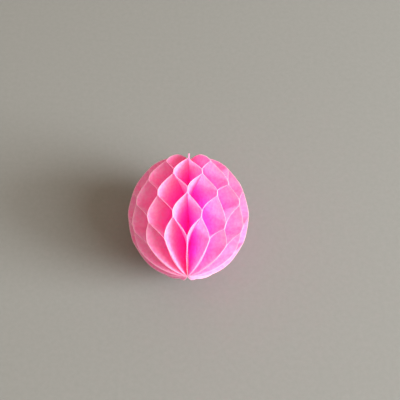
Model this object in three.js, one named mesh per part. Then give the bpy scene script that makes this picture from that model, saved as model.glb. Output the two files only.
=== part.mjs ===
// Honeycomb paper ball. Half-oval paper leaves are bound by their straight edges to one spine and
// pasted to each other along short lines, to the left neighbour and the right neighbour in turn.
// Opened right round, each leaf swings from side to side and the gaps between leaves become cells.
// Millimetres, +Z up. The ball lies on its side: its spine runs along Y, and the origin is on the
// surface that it lies on, under its middle.

import * as THREE from "three";
import { mergeVertices } from "three/addons/utils/BufferGeometryUtils.js";

// Driving dimensions
const spineLength = 53.6; // pole to pole
const leafDepth = 25; // spine to rim, at the middle of a leaf
const cellsAround = 13; // cells in one ring round the ball, each between two leaves
const pastePitch = 9.24; // from one paste line to the next, along the spine
const pasteOffset = -0.5; // of the middle paste line, from the middle of the spine
const pasteWidth = 2.4; // width of a paste line, where two leaves lie flat together
const pasteFilm = 0.06; // paste between two leaves
const paperThickness = 0.1;
const bindingFilm = 0.06; // between the binding and a leaf's straight edge
const tipWidth = 0.5; // blunt end that each leaf has at the poles
const creaseSoftness = 0.25; // 0 bends a leaf sharply at a paste line's edge, 1 in a full S
const belly = 0.25; // how far a leaf bows where it crosses to its next neighbour, 0 for straight
const seamPlane = 3; // where the ball was closed by hand, counted in leaves from the top
const seamSlip = -2.4; // how far the paste lines of that seam lie along the spine from their place

// Facets
const bendSteps = 5; // between two paste lines
const poleSteps = 5; // between the last paste line and the leaf's end
const depthSteps = 2; // spine to rim
const bindingSides = 26;

const leafCount = 2 * cellsAround;
const wedge = (2 * Math.PI) / leafCount; // the angle that one leaf has to itself
const swing = Math.tan(wedge / 2);
const halfSpine = spineLength / 2;

// The straight edges sit where the wedges are just wide enough for the paper and the paste.
const edgeRadius = (paperThickness + pasteFilm) / 2 / Math.sin(wedge / 2);
const bindingRadius = edgeRadius - bindingFilm;
const leafEnd = halfSpine * Math.sqrt(1 - ((edgeRadius + tipWidth) / leafDepth) ** 2);
const lineRoom = leafEnd - pasteWidth - Math.abs(seamSlip) - Math.abs(pasteOffset);
const linesEachSide = Math.floor(lineRoom / pastePitch);

const paper = { color: 0xf58fc0, roughness: 0.85, metalness: 0 };
const driedPaste = { color: 0xe9a3c4, roughness: 0.6, metalness: 0 };

// Distance from the spine to the rim of the half oval, y along the spine.
function rimDepth(y) {
  return leafDepth * Math.sqrt(1 - (y / halfSpine) ** 2);
}

// The paste lines of one leaf, from pole to pole. side is 1 where the line joins the leaf to the
// next one round, and -1 where it joins it to the one before.
function pasteLines(leaf) {
  const lines = [];
  for (let line = -linesEachSide; line <= linesEachSide; line++) {
    const side = (leaf + line) % 2 === 0 ? -1 : 1;
    const plane = side === 1 ? leaf + 1 : leaf;
    const slip = plane === seamPlane ? seamSlip : 0;
    lines.push({ y: line * pastePitch + pasteOffset + slip, side });
  }
  return lines;
}

// Where the facets of one leaf begin and end along the spine.
function stations(lines) {
  const found = [];
  const half = pasteWidth / 2;
  const poleward = (edge) => {
    const from = Math.asin(edge / halfSpine);
    const to = Math.asin(leafEnd / halfSpine);
    return (step) => halfSpine * Math.sin(THREE.MathUtils.lerp(from, to, step / poleSteps));
  };
  const south = poleward(half - lines[0].y);
  const north = poleward(half + lines[lines.length - 1].y);
  for (let step = poleSteps; step > 0; step--) found.push(-south(step));
  lines.forEach(({ y }, index) => {
    found.push(y - half, y + half);
    if (index + 1 === lines.length) return;
    const next = lines[index + 1].y - half;
    for (let step = 1; step < bendSteps; step++)
      found.push(THREE.MathUtils.lerp(y + half, next, step / bendSteps));
  });
  for (let step = 1; step <= poleSteps; step++) found.push(north(step));
  return found;
}

// How far a leaf leans to its next neighbour (1) or the one before (-1) at y, and how fast that
// changes along the spine.
function lean(lines, y) {
  const half = pasteWidth / 2;
  for (let index = 0; index + 1 < lines.length; index++) {
    const start = lines[index].y + half;
    const end = lines[index + 1].y - half;
    if (y <= start) return { at: lines[index].side, slope: 0 };
    if (y >= end) continue;
    const share = (y - start) / (end - start);
    const eased = share * share * (3 - 2 * share);
    const turn = lines[index + 1].side - lines[index].side;
    const level = lines[index].side + turn * THREE.MathUtils.lerp(share, eased, creaseSoftness);
    const pace = THREE.MathUtils.lerp(1, 6 * share * (1 - share), creaseSoftness);
    const bow = turn > 0 ? belly : 0;
    const at = level - bow * (1 - level * level);
    return { at, slope: ((turn * pace) / (end - start)) * (1 + 2 * bow * level) };
  }
  return { at: lines[lines.length - 1].side, slope: 0 };
}

// Splits the quads of a box's -X face along the same diagonals as those of its +X face, so that a
// thin box keeps its thickness where it is twisted.
function matchDiagonals(box) {
  const { start, count } = box.groups[1];
  const corners = box.getIndex().array;
  for (let i = start; i < start + count; i += 6) {
    const [a, b, d, , c] = corners.slice(i, i + 6);
    corners.set([a, b, c, a, c, d], i);
  }
}

// A leaf standing on the spine: X to its next neighbour, Y along the spine, Z out to the rim. It is
// a box of paper, one sheet thick, bent so that every line from spine to rim stays straight.
function leafGeometry(leaf) {
  const lines = pasteLines(leaf);
  const along = stations(lines);
  const box = new THREE.BoxGeometry(1, 1, 1, 1, along.length - 1, depthSteps);
  matchDiagonals(box);
  box.deleteAttribute("normal");
  box.deleteAttribute("uv");
  const place = box.getAttribute("position");
  const point = new THREE.Vector3();
  const across = new THREE.Vector3();
  for (let i = 0; i < place.count; i++) {
    const face = place.getX(i);
    const y = along[Math.round((place.getY(i) + 0.5) * (along.length - 1))];
    const reach = (rimDepth(y) - edgeRadius) * (place.getZ(i) + 0.5);
    const { at, slope } = lean(lines, y);
    across.set(1, -slope * swing * reach, -at * swing).normalize();
    point.set(at * swing * reach, y, edgeRadius + reach);
    point.addScaledVector(across, face * paperThickness);
    place.setXYZ(i, point.x, point.y, point.z);
  }
  return mergeVertices(box);
}

const ball = new THREE.Group();

const binding = new THREE.Mesh(
  new THREE.CylinderGeometry(bindingRadius, bindingRadius, 2 * leafEnd, bindingSides),
  new THREE.MeshStandardMaterial(driedPaste),
);
binding.name = "spine_binding";
ball.add(binding);

for (let leaf = 0; leaf < leafCount; leaf++) {
  const sheet = new THREE.Mesh(leafGeometry(leaf), new THREE.MeshStandardMaterial(paper));
  sheet.name = "leaf_" + String(leaf + 1).padStart(2, "0");
  sheet.rotation.y = (leaf + 0.5) * wedge;
  ball.add(sheet);
}

// The ball comes to rest with its lowest rims on the surface.
ball.position.z = -new THREE.Box3().setFromObject(ball, true).min.z;

const part = new THREE.Group();
part.add(ball);

export default part;
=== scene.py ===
# Honeycomb paper ball, lying on its side: a paste bead on the spine, and round it 26 thin pink
# paper leaves that are pasted to each other in turn. Metres, +Z up, the spine along Y.
import math

import bpy
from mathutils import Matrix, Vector


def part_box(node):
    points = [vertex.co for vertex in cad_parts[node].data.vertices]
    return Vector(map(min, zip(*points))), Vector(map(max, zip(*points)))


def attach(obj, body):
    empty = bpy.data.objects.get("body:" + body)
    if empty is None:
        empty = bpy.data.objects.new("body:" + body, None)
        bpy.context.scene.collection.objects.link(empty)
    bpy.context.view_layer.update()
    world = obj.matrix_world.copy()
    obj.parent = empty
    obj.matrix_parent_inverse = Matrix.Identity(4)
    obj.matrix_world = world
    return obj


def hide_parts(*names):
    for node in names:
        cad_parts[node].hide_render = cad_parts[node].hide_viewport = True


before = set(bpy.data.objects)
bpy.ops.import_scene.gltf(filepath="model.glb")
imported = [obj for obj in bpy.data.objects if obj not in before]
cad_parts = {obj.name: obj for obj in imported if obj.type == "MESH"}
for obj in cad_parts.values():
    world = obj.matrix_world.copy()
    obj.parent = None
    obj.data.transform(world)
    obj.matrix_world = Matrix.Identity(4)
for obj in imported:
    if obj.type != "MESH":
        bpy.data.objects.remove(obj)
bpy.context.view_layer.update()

# The binding on the spine. When the ball is opened right round, the straight edges of its leaves
# meet on one line and are held there by a bead of white paste, which dries tinted by the paper's
# dye. It is pressed out a little between the leaves, so it has one low ridge for each gap.
bead_low, bead_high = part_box("spine_binding")
spine_height = (bead_low.z + bead_high.z) / 2
leaf_nodes = sorted(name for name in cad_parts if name.startswith("leaf_"))
leaf_count = len(leaf_nodes)
bead_sizes = {
    "Radius": (bead_high.z - bead_low.z) / 2,
    "Length": bead_high.y - bead_low.y,
    "Ridges": float(leaf_count),
    "Ridge Height": 0.00007,
    "End Rounding": 0.0006,
    "End Taper": 0.8,
    "Height": spine_height,
}
facets_per_ridge = 6
rings_along_bead = 90
rings_on_bead_end = 3
scene = bpy.context.scene


def placed(tree, kind, feeds=(), **settings):
    """A node of one kind, with its inputs fed by sockets or values, in order or by name."""
    node = tree.nodes.new(kind)
    for name, value in settings.items():
        setattr(node, name, value)
    keyed = feeds if isinstance(feeds, dict) else dict(enumerate(feeds))
    for key, feed in keyed.items():
        if isinstance(feed, bpy.types.NodeSocket):
            tree.links.new(feed, node.inputs[key])
        else:
            node.inputs[key].default_value = feed
    return node


def wired(tree, kind, feeds=(), **settings):
    """The first output of such a node."""
    return placed(tree, kind, feeds, **settings).outputs[0]


def calculator(tree):
    """Short arithmetic for one tree: sums.add(a, b), sums.multiply(a, b) and so on."""

    class Sums:
        def __getattr__(self, operation):
            return lambda *feeds: wired(tree, "ShaderNodeMath", feeds, operation=operation.upper())

    return Sums()


def bare_material(name):
    """A node material with an empty tree, and that tree."""
    material = bpy.data.materials.new(name)
    material.use_nodes = True
    material.node_tree.nodes.clear()
    return material, material.node_tree


def two_tones(tree, pattern, *tones):
    """The colour that a pattern gives, between two tones that each have their place in its range."""
    ramp = placed(tree, "ShaderNodeValToRGB", {"Fac": pattern})
    for stop, (position, colour) in zip(ramp.color_ramp.elements, tones):
        stop.position = position
        stop.color = (*colour, 1)
    return ramp.outputs["Color"]


def tree_with_inputs(name, sizes):
    """A geometry tree with one named input for each size, and its group input's sockets."""
    tree = bpy.data.node_groups.new(name, "GeometryNodeTree")
    for label, value in sizes.items():
        socket = tree.interface.new_socket(label, in_out="INPUT", socket_type="NodeSocketFloat")
        socket.default_value = value
    tree.interface.new_socket("Geometry", in_out="OUTPUT", socket_type="NodeSocketGeometry")
    return tree, tree.nodes.new("NodeGroupInput").outputs


def grid_point(tree):
    """The X, Y and Z of a point on the plain grid that a tree starts from."""
    point = wired(tree, "GeometryNodeInputPosition")
    return placed(tree, "ShaderNodeSeparateXYZ", {"Vector": point}).outputs


def finish_tree(tree, geometry, material):
    """Ends a tree in plain geometry with its material on."""
    real = wired(tree, "GeometryNodeRealizeInstances", {"Geometry": geometry})
    covered = wired(tree, "GeometryNodeSetMaterial", {"Geometry": real, "Material": material})
    placed(tree, "NodeGroupOutput", {"Geometry": covered})


def shaped_by(tree, name, sizes):
    """A new object with the tree on it and its sizes set, not yet evaluated."""
    piece = bpy.data.objects.new(name, bpy.data.meshes.new(name))
    scene.collection.objects.link(piece)
    shaping = piece.modifiers.new(tree.name, "NODES")
    shaping.node_group = tree
    for item in tree.interface.items_tree:
        if item.in_out == "INPUT" and item.name in sizes:
            shaping[item.identifier] = sizes[item.name]
    return piece


def made_plain(piece):
    """The object with what its tree made as its own plain mesh, and the tree taken off."""
    shown = piece.evaluated_get(bpy.context.evaluated_depsgraph_get())
    mesh = bpy.data.meshes.new_from_object(shown)
    mesh.name = piece.name
    piece.modifiers.clear()
    piece.data = mesh
    return piece


dried_paste, paste_tree = bare_material("dried_paste")
place = placed(paste_tree, "ShaderNodeTexCoord").outputs["Object"]
lumps = wired(paste_tree, "ShaderNodeTexNoise", {"Vector": place, "Scale": 2200, "Detail": 4})
tint = two_tones(paste_tree, lumps, (0.35, (0.72, 0.36, 0.48)), (0.7, (0.86, 0.55, 0.64)))
skin = wired(paste_tree, "ShaderNodeBump", {"Strength": 0.5, "Distance": 0.00004, "Height": lumps})
paste_shader = wired(
    paste_tree,
    "ShaderNodeBsdfPrincipled",
    {"Base Color": tint, "Roughness": 0.5, "Normal": skin},
)
placed(paste_tree, "ShaderNodeOutputMaterial", {"Surface": paste_shader})

# The bead starts as a rod of radius 1 along Z. Its points are moved out to the ridges, in at the
# rounded ends, and round to lie along the spine.
bead_tree, given = tree_with_inputs("paste_bead", bead_sizes)
sums = calculator(bead_tree)
rod = wired(
    bead_tree,
    "GeometryNodeMeshCylinder",
    {
        "Vertices": facets_per_ridge * leaf_count,
        "Side Segments": rings_along_bead,
        "Fill Segments": rings_on_bead_end,
        "Radius": 1,
        "Depth": 2,
    },
)
at = grid_point(bead_tree)
bearing = sums.arctan2(at["X"], at["Y"])
ridge = sums.multiply(sums.add(sums.cosine(sums.multiply(bearing, given["Ridges"])), 1), 0.5)
half_length = sums.multiply(given["Length"], 0.5)
to_end = sums.multiply(sums.subtract(1, sums.absolute(at["Z"])), half_length)
dome = sums.subtract(1, sums.minimum(sums.divide(to_end, given["End Rounding"]), 1))
drawn_in = sums.multiply(sums.multiply(dome, dome), given["End Taper"])
rounding = sums.sqrt(sums.maximum(sums.subtract(1, drawn_in), 0))
ridged_radius = sums.add(given["Radius"], sums.multiply(ridge, given["Ridge Height"]))
radius = sums.multiply(ridged_radius, rounding)
bead_point = wired(
    bead_tree,
    "ShaderNodeCombineXYZ",
    {
        "X": sums.multiply(at["X"], radius),
        "Y": sums.multiply(at["Z"], half_length),
        "Z": sums.subtract(given["Height"], sums.multiply(at["Y"], radius)),
    },
)
bead_shape = wired(bead_tree, "GeometryNodeSetPosition", {"Geometry": rod, "Position": bead_point})
smooth_bead = wired(bead_tree, "GeometryNodeSetShadeSmooth", {"Geometry": bead_shape})
finish_tree(bead_tree, smooth_bead, dried_paste)

bead = made_plain(shaped_by(bead_tree, "paste_bead", bead_sizes))
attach(bead, "root")
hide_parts("spine_binding")

# The leaves. Each is one die-cut half oval of soft dyed tissue paper, pasted along five short lines
# to its two neighbours in turn, so that it swings between them and the gaps open into cells. It
# lets light through. Its colour is painted paler towards the rim and deeper pink further in, as
# painted shade for the deep cells, and palest at the cut edge, partly bare paper, partly a painted
# highlight.
wedge = 2 * math.pi / leaf_count
leaf_sizes = {
    "Spine Length": 0.0536,
    "Leaf Depth": 0.025,
    "Tip Width": 0.0005,
    "Edge Radius": 0.0006637,
    "Paste Pitch": 0.00924,
    "Paste Offset": -0.0005,
    "Paste Width": 0.0024,
    "Paper Thickness": 0.0001,
    "Crease Softness": 0.25,
    "Belly": 0.25,
    "Parting": 0.16,
    "Parting Run": 0.004,
    "Half Wedge": wedge / 2,
    "Seam Slip": 0.0,
    "First Side": 1.0,
    "Turn": 0.0,
    "Height": spine_height,
    "Buckle": 0.09,
    "Crinkle": 0.055,
    "Rim Wander": 0.004,
    "Seed": 0.0,
}
points_along_leaf = 161
points_across_leaf = 33

# The lines shared by these two leaves, at the seam where the ball was closed, sit off their place.
seam_leaves = ("leaf_03", "leaf_04")
seam_slip = -0.0024

# How deep from the rim the painted light gives way to the full painted shade, and how far in the
# pale cut edge reaches, bare paper with a painted highlight.
painted_pale_depth = 0.004
painted_shade_depth = 0.016
pale_edge_full = 0.00008
pale_edge_end = 0.0003
# The colour of the pale cut edge: bare paper with a painted highlight.
bare_and_lit_edge = (0.99, 0.84, 0.93)

# Where the fibres lie loose and dense in the pattern, and how much that changes the dye.
loose_fibres = 0.40
dense_fibres = 0.62
clump_effect = 0.3

# The share of the light on a face that goes through the sheet, to show on its other side.
let_through = 0.65

pink_tissue, paper_tree = bare_material("pink_tissue")
place = placed(paper_tree, "ShaderNodeTexCoord").outputs["Object"]
cloud = wired(paper_tree, "ShaderNodeTexNoise", {"Vector": place, "Scale": 800, "Detail": 3})
fibres = wired(
    paper_tree,
    "ShaderNodeTexNoise",
    {"Vector": place, "Scale": 2600, "Detail": 5, "Roughness": 0.65, "Distortion": 1.2},
)
clumps = wired(
    paper_tree, "ShaderNodeMix", {"Factor": 0.35, "A": cloud, "B": fibres}, data_type="FLOAT"
)
to_rim = placed(paper_tree, "ShaderNodeAttribute", attribute_name="to_rim").outputs["Fac"]


def stretched(value, low, high, at_low, at_high):
    """The value's stretch from low to high, spread smoothly from at_low to at_high."""
    ends = {"From Min": low, "From Max": high, "To Min": at_low, "To Max": at_high}
    feeds = {"Value": value, **ends}
    return wired(paper_tree, "ShaderNodeMapRange", feeds, interpolation_type="SMOOTHSTEP")


# Painted shade: the colour turns from the paler one near the rim to the deeper pink one further in.
painted_shade_share = stretched(to_rim, painted_pale_depth, painted_shade_depth, 0, 1)
clump_share = stretched(clumps, loose_fibres, dense_fibres, -clump_effect, clump_effect)
# The pale cut edge is partly bare paper and partly a painted highlight on the rim.
pale_edge_share = stretched(to_rim, pale_edge_full, pale_edge_end, 1, 0)


def dye_and_painted_light(lit_near_rim, shaded_deep, dense):
    """The paper's colour: painted paler near the rim and deeper pink inside as painted shade, dense
    in clumps, and palest at the cut, where bare paper has a painted highlight.
    """
    first_colour, second_colour, mixed_colour = 6, 7, 2  # a Mix node's sockets for colours
    colour = (*lit_near_rim, 1)
    for share, other in ((painted_shade_share, shaded_deep), (clump_share, dense), (pale_edge_share, bare_and_lit_edge)):
        feeds = {"Factor": share, first_colour: colour, second_colour: (*other, 1)}
        mix = placed(paper_tree, "ShaderNodeMix", feeds, data_type="RGBA", clamp_factor=False)
        colour = mix.outputs[mixed_colour]
    return colour


# The paler colours near the rim are painted light and the deeper ones inside painted shade; the
# dense ones are the paper's own clumps.
face_dye_and_painted_light = dye_and_painted_light(lit_near_rim=(0.998, 0.54, 0.83), shaded_deep=(0.998, 0.38, 0.92), dense=(0.998, 0.28, 0.66))
glow_dye_and_painted_light = dye_and_painted_light(lit_near_rim=(0.998, 0.67, 0.89), shaded_deep=(0.998, 0.53, 0.95), dense=(0.998, 0.42, 0.79))
tooth = wired(
    paper_tree, "ShaderNodeBump", {"Strength": 0.35, "Distance": 0.00003, "Height": fibres}
)
paper_face = wired(
    paper_tree,
    "ShaderNodeBsdfPrincipled",
    {"Base Color": face_dye_and_painted_light, "Roughness": 0.8, "Specular IOR Level": 0.3, "Normal": tooth},
)
paper_glow = wired(paper_tree, "ShaderNodeBsdfTranslucent", {"Color": glow_dye_and_painted_light, "Normal": tooth})
paper_shader = wired(paper_tree, "ShaderNodeMixShader", (let_through, paper_face, paper_glow))
placed(paper_tree, "ShaderNodeOutputMaterial", {"Surface": paper_shader})

# The leaf starts as a flat box of size 1: its thickness along X, its length along Y, and its depth
# from the spine along Z.
leaf_tree, given = tree_with_inputs("swinging_leaf", leaf_sizes)
sums = calculator(leaf_tree)
sheet_box = wired(
    leaf_tree,
    "GeometryNodeMeshCube",
    {
        "Size": (1, 1, 1),
        "Vertices X": 2,
        "Vertices Y": points_along_leaf,
        "Vertices Z": points_across_leaf,
    },
)
at = grid_point(leaf_tree)

# Where a point of the sheet lies on the half oval: along the spine, and out from the straight edge.
tip_radius = sums.add(given["Edge Radius"], given["Tip Width"])
end_angle = sums.arccosine(sums.divide(tip_radius, given["Leaf Depth"]))
angle = sums.multiply(sums.multiply(at["Y"], 2), end_angle)
along = sums.multiply(sums.multiply(given["Spine Length"], 0.5), sums.sine(angle))
share_out = sums.add(at["Z"], 0.5)
oval_depth = sums.multiply(given["Leaf Depth"], sums.cosine(angle))

# Each leaf takes its ripples from its own place in the noise.
seed_step = 0.37
ripple_gain = 2.6
sample = wired(
    leaf_tree,
    "ShaderNodeCombineXYZ",
    {
        "X": sums.multiply(given["Seed"], seed_step),
        "Y": along,
        "Z": sums.multiply(share_out, given["Leaf Depth"]),
    },
)


def ripple(scale, detail, shift):
    """Smooth noise on the flat sheet, from about -1 to 1, different for each leaf."""
    shifted = wired(leaf_tree, "ShaderNodeVectorMath", (sample, (shift, 0, 0)), operation="ADD")
    feeds = {"Vector": shifted, "Scale": scale, "Detail": detail}
    noise = wired(leaf_tree, "ShaderNodeTexNoise", feeds)
    return sums.multiply(sums.subtract(noise, 0.5), ripple_gain)


def kept_to_share(value):
    """The value, kept between 0 and 1."""
    return sums.maximum(sums.minimum(value, 1), 0)


def gentle(share):
    """The share, with a soft start and a soft end."""
    return sums.multiply(sums.multiply(share, share), sums.subtract(3, sums.multiply(share, 2)))


# The cut of the rim is not quite true: it wanders inwards a little.
rim_ripple = sums.absolute(ripple(scale=160, detail=1, shift=11))
rim_wander = sums.multiply(rim_ripple, given["Rim Wander"])
paper_depth = sums.subtract(oval_depth, given["Edge Radius"])
full_reach = sums.multiply(paper_depth, sums.subtract(1, rim_wander))
reach = sums.multiply(full_reach, share_out)

# How far the sheet leans to one neighbour or the other, from paste line to paste line. Where it
# crosses to its next neighbour it bows a little, and past the last lines its lean stays the same.
half_line = sums.multiply(given["Paste Width"], 0.5)
both_pitches = sums.multiply(given["Paste Pitch"], 2)
from_middle = sums.subtract(along, given["Paste Offset"])
within = sums.maximum(sums.minimum(from_middle, both_pitches), sums.multiply(both_pitches, -1))
from_line = sums.floored_modulo(within, both_pitches)
rise_pitch = sums.add(given["Paste Pitch"], given["Seam Slip"])
fall_pitch = sums.subtract(given["Paste Pitch"], given["Seam Slip"])
rise_room = sums.subtract(rise_pitch, given["Paste Width"])
fall_room = sums.subtract(fall_pitch, given["Paste Width"])
rise = sums.divide(sums.subtract(from_line, half_line), rise_room)
fall = sums.divide(sums.subtract(sums.subtract(both_pitches, half_line), from_line), fall_room)
crossed = kept_to_share(sums.minimum(rise, fall))
bend = sums.multiply(sums.subtract(gentle(crossed), crossed), given["Crease Softness"])
swung = sums.multiply(sums.add(crossed, bend), 2)
level = sums.multiply(given["First Side"], sums.subtract(1, swung))
heading = sums.subtract(sums.multiply(sums.less_than(rise, fall), 2), 1)
onward = sums.multiply(sums.subtract(1, sums.multiply(given["First Side"], heading)), 0.5)
freedom = sums.subtract(1, sums.multiply(level, level))
bow = sums.multiply(sums.multiply(onward, given["Belly"]), freedom)

# Beyond the last paste lines nothing holds the two leaves of a pair together, so they part a little.
past_lines = sums.subtract(sums.absolute(from_middle), sums.add(both_pitches, half_line))
parted = gentle(kept_to_share(sums.divide(past_lines, given["Parting Run"])))
hold = sums.subtract(1, sums.multiply(parted, given["Parting"]))
lean = sums.multiply(sums.subtract(level, bow), hold)

# Between its paste lines the soft sheet buckles, less and less towards the lines.
slack = sums.subtract(1, sums.multiply(lean, lean))
buckle = sums.multiply(ripple(scale=95, detail=1, shift=0), given["Buckle"])
crinkle = sums.multiply(ripple(scale=330, detail=2, shift=23), given["Crinkle"])
loose_lean = sums.add(lean, sums.multiply(slack, sums.add(buckle, crinkle)))
sideways = sums.multiply(sums.multiply(loose_lean, sums.tangent(given["Half Wedge"])), reach)
thickness = sums.multiply(at["X"], given["Paper Thickness"])

# The shaped sheet stands straight up from the spine, and is then turned to its own place round it.
upright_point = wired(
    leaf_tree,
    "ShaderNodeCombineXYZ",
    {"X": sums.add(sideways, thickness), "Y": along, "Z": sums.add(given["Edge Radius"], reach)},
)
turned_point = wired(
    leaf_tree,
    "ShaderNodeVectorRotate",
    {"Vector": upright_point, "Angle": given["Turn"]},
    rotation_type="Y_AXIS",
)
lift = wired(leaf_tree, "ShaderNodeCombineXYZ", {"Z": given["Height"]})
leaf_point = wired(leaf_tree, "ShaderNodeVectorMath", (turned_point, lift), operation="ADD")
marked_box = wired(
    leaf_tree,
    "GeometryNodeStoreNamedAttribute",
    {"Geometry": sheet_box, "Name": "to_rim", "Value": sums.subtract(full_reach, reach)},
    data_type="FLOAT",
    domain="POINT",
)
leaf_shape = wired(
    leaf_tree, "GeometryNodeSetPosition", {"Geometry": marked_box, "Position": leaf_point}
)

# The faces are smooth, and the cut edges, where two faces meet at over a radian, are crisp.
cut_angle = 1.0
smooth_leaf = wired(leaf_tree, "GeometryNodeSetShadeSmooth", {"Geometry": leaf_shape})
fold = wired(leaf_tree, "GeometryNodeInputMeshEdgeAngle")
cut_edge = wired(leaf_tree, "FunctionNodeCompare", (fold, cut_angle), operation="GREATER_THAN")
crisp_leaf = wired(
    leaf_tree,
    "GeometryNodeSetShadeSmooth",
    {"Geometry": smooth_leaf, "Selection": cut_edge, "Shade Smooth": False},
    domain="EDGE",
)
finish_tree(leaf_tree, crisp_leaf, pink_tissue)

for number, node in enumerate(leaf_nodes):
    own_sizes = {
        **leaf_sizes,
        "First Side": -1.0 if number % 2 == 0 else 1.0,
        "Turn": (number + 0.5) * wedge,
        "Seam Slip": seam_slip if node in seam_leaves else 0.0,
        "Seed": float(number),
    }
    leaf = made_plain(shaped_by(leaf_tree, f"tissue_{node}", own_sizes))
    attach(leaf, "root")
    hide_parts(node)

# The floor under the ball, which isn't part of it: a plain matt grey board with a fine grain. Its
# tone is darker than it looks here, because the paper needs strong light.
floor_half = 1.5
corners = [(-1, -1), (1, -1), (1, 1), (-1, 1)]
floor_points = [(x * floor_half, y * floor_half, 0) for x, y in corners]
floor_mesh = bpy.data.meshes.new("floor_board")
floor_mesh.from_pydata(floor_points, [], [(0, 1, 2, 3)])
floor_board = bpy.data.objects.new("floor_board", floor_mesh)
scene.collection.objects.link(floor_board)
matt_board, board_tree = bare_material("matt_board")
place = placed(board_tree, "ShaderNodeTexCoord").outputs["Object"]
grain = wired(
    board_tree,
    "ShaderNodeTexNoise",
    {"Vector": place, "Scale": 500, "Detail": 6, "Roughness": 0.7},
)
board_tone = two_tones(
    board_tree, grain, (0.3, (0.207, 0.216, 0.216)), (0.7, (0.226, 0.235, 0.235))
)
board_shader = wired(
    board_tree,
    "ShaderNodeBsdfPrincipled",
    {"Base Color": board_tone, "Roughness": 0.9, "Specular IOR Level": 0.0},
)
placed(board_tree, "ShaderNodeOutputMaterial", {"Surface": board_shader})
floor_mesh.materials.append(matt_board)

# The light. Two round white soft boxes stand on the right, one low and one higher, a weak broad one
# hangs overhead, and a warm dim room fills the shadows. Light goes through and between the leaves
# many times before it comes out of a cell, so many bounces are followed.
ball_middle = Vector((0, 0, spine_height))
lamp_distance = 1.6


def soft_box(name, bearing, rise, width, power, colour):
    """A round lamp that faces the ball, at a bearing round from +X and a rise above the floor."""
    turn = math.radians(bearing)
    up = math.radians(rise)
    towards = Vector((math.cos(turn) * math.cos(up), math.sin(turn) * math.cos(up), math.sin(up)))
    light = bpy.data.lights.new(name, "AREA")
    light.shape = "DISK"
    light.size = width
    light.energy = power
    light.color = colour
    lamp = bpy.data.objects.new(name, light)
    lamp.location = ball_middle + towards * lamp_distance
    lamp.rotation_mode = "QUATERNION"
    lamp.rotation_quaternion = (-towards).to_track_quat("-Z", "Y")
    scene.collection.objects.link(lamp)


soft_box("low_lamp", bearing=-14.2, rise=21, width=0.8, power=37.6, colour=(0.98, 1.0, 0.98))
soft_box("side_box", bearing=-24, rise=36, width=1.2, power=28.8, colour=(1.0, 1.0, 0.97))
soft_box("top_box", bearing=-90, rise=73, width=1.6, power=4.2, colour=(1.0, 0.87, 0.75))

room = bpy.data.worlds.new("soft_room")
room.use_nodes = True
room_tree = room.node_tree
room_tree.nodes.clear()
seen = placed(room_tree, "ShaderNodeLightPath").outputs["Is Camera Ray"]
room_light = wired(
    room_tree, "ShaderNodeBackground", {"Color": (1.0, 0.78, 0.55, 1), "Strength": 0.585}
)
backdrop = wired(room_tree, "ShaderNodeBackground", {"Color": (0.6, 0.6, 0.58, 1)})
behind = wired(room_tree, "ShaderNodeMixShader", (seen, room_light, backdrop))
placed(room_tree, "ShaderNodeOutputWorld", {"Surface": behind})
scene.world = room
scene.view_settings.view_transform = "Standard"
scene.cycles.max_bounces = 96
scene.cycles.diffuse_bounces = 64
scene.cycles.transmission_bounces = 96

# The camera. It stands above the ball and in front of its near pole, 0.3 m away, and looks down at a
# slant, so that the ball shows small on a wide stretch of plain floor.
eye = Vector((0.0059, -0.1299, 0.2949))
sight = Vector((-0.0038, 0.4535, -0.8913))
lens = bpy.data.cameras.new("camera")
lens.lens = 64.5
lens.sensor_width = 36
lens.clip_start = 0.01
camera = bpy.data.objects.new("camera", lens)
camera.location = eye
camera.rotation_mode = "QUATERNION"
camera.rotation_quaternion = sight.to_track_quat("-Z", "Y")
scene.collection.objects.link(camera)
scene.camera = camera
